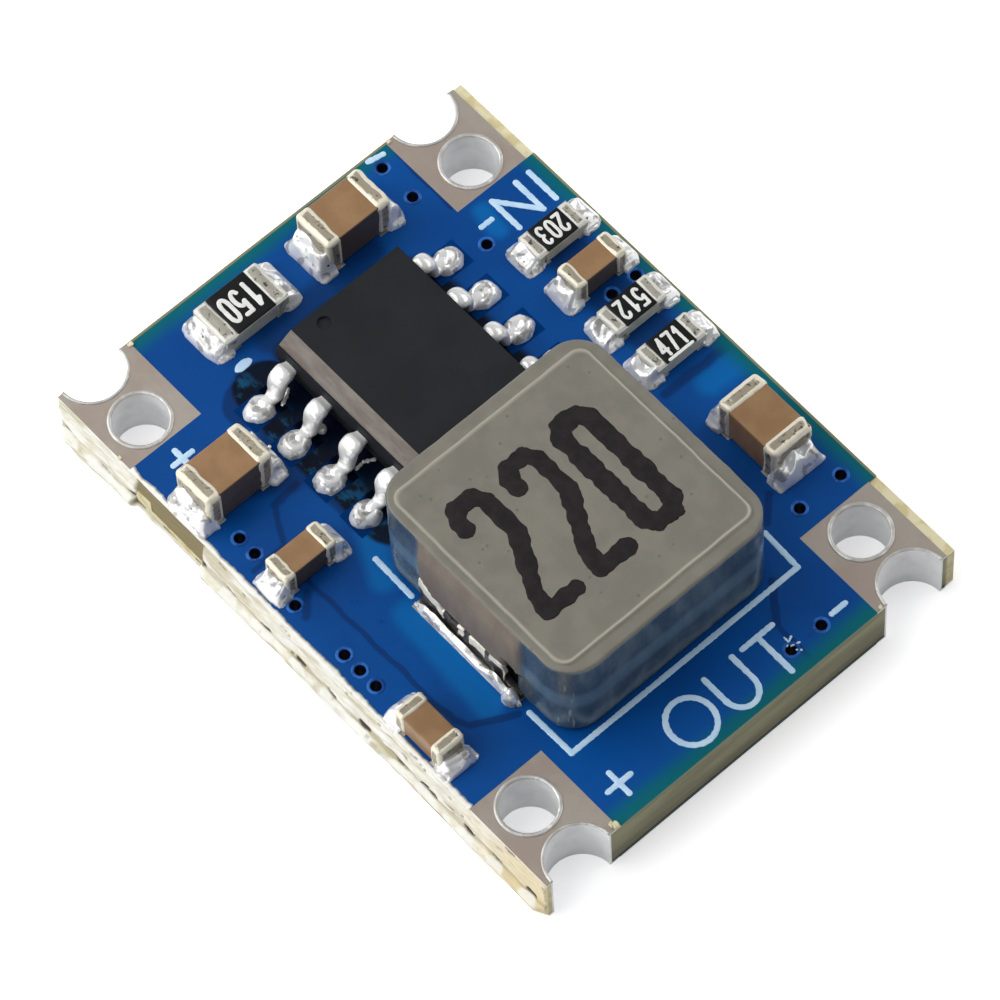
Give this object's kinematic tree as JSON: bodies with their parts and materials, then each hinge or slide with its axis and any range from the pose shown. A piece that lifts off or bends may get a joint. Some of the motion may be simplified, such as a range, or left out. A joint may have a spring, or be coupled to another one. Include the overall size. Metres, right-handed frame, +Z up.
{
  "type": "buck converter module",
  "caption": "Small step-down converter board with a controller, a moulded inductor, chip capacitors and resistors, and plated corner pads with pin holes and edge notches.",
  "frame": {"origin": "middle of the board's outline on the underside", "axes": "+X from the input end to the output end, +Y from the snapped front edge to the rear edge, +Z up through the parts"},
  "size_m": [0.0174, 0.0128, 0.0046],
  "materials": {
    "laminate": "bare glass-epoxy laminate, rough where it was snapped",
    "solder_mask": "glossy blue solder mask",
    "copper": "plain copper plating",
    "tinned_pad": "thin tin plate, satin",
    "moulding_compound": "fine matte black mould",
    "lead_plating": "bright tin plate",
    "solder": "bright reflowed solder",
    "iron_powder": "pressed iron-powder composite, sealed and smooth",
    "tinned_terminal": "tinned copper sheet",
    "chip_termination": "barrel-plated tin, satin",
    "resistor_overcoat": "dark glass overcoat",
    "capacitor_ceramic": "fired brown ceramic, low gloss",
    "alumina": "white alumina"
  },
  "bodies": {
    "root": {"substrate": "laminate", "mask_top": "solder_mask", "mask_bottom": "solder_mask", "via_barrels": "copper", "lands": "tinned_pad", "pad_in_plus": "tinned_pad", "pad_in_minus": "tinned_pad", "pad_out_plus": "tinned_pad", "pad_out_minus": "tinned_pad", "controller_body": "moulding_compound", "lead_1": "lead_plating", "lead_2": "lead_plating", "lead_3": "lead_plating", "lead_4": "lead_plating", "lead_5": "lead_plating", "lead_6": "lead_plating", "lead_7": "lead_plating", "lead_8": "lead_plating", "controller_solder": "solder", "inductor_body": "iron_powder", "terminal_front": "tinned_terminal", "terminal_rear": "tinned_terminal", "inductor_solder": "solder", "input_capacitor": "capacitor_ceramic", "input_capacitor_ends": "chip_termination", "input_capacitor_solder": "solder", "supply_capacitor": "capacitor_ceramic", "supply_capacitor_ends": "chip_termination", "supply_capacitor_solder": "solder", "output_capacitor": "capacitor_ceramic", "output_capacitor_ends": "chip_termination", "output_capacitor_solder": "solder", "boost_capacitor": "capacitor_ceramic", "boost_capacitor_ends": "chip_termination", "boost_capacitor_solder": "solder", "filter_capacitor": "capacitor_ceramic", "filter_capacitor_ends": "chip_termination", "filter_capacitor_solder": "solder", "feed_capacitor": "capacitor_ceramic", "feed_capacitor_ends": "chip_termination", "feed_capacitor_solder": "solder", "sense_resistor": "alumina", "sense_resistor_coat": "resistor_overcoat", "sense_resistor_ends": "chip_termination", "sense_resistor_solder": "solder", "resistor_1": "alumina", "resistor_1_coat": "resistor_overcoat", "resistor_1_ends": "chip_termination", "resistor_1_solder": "solder", "resistor_2": "alumina", "resistor_2_coat": "resistor_overcoat", "resistor_2_ends": "chip_termination", "resistor_2_solder": "solder", "resistor_3": "alumina", "resistor_3_coat": "resistor_overcoat", "resistor_3_ends": "chip_termination", "resistor_3_solder": "solder"}
  },
  "joints": []
}
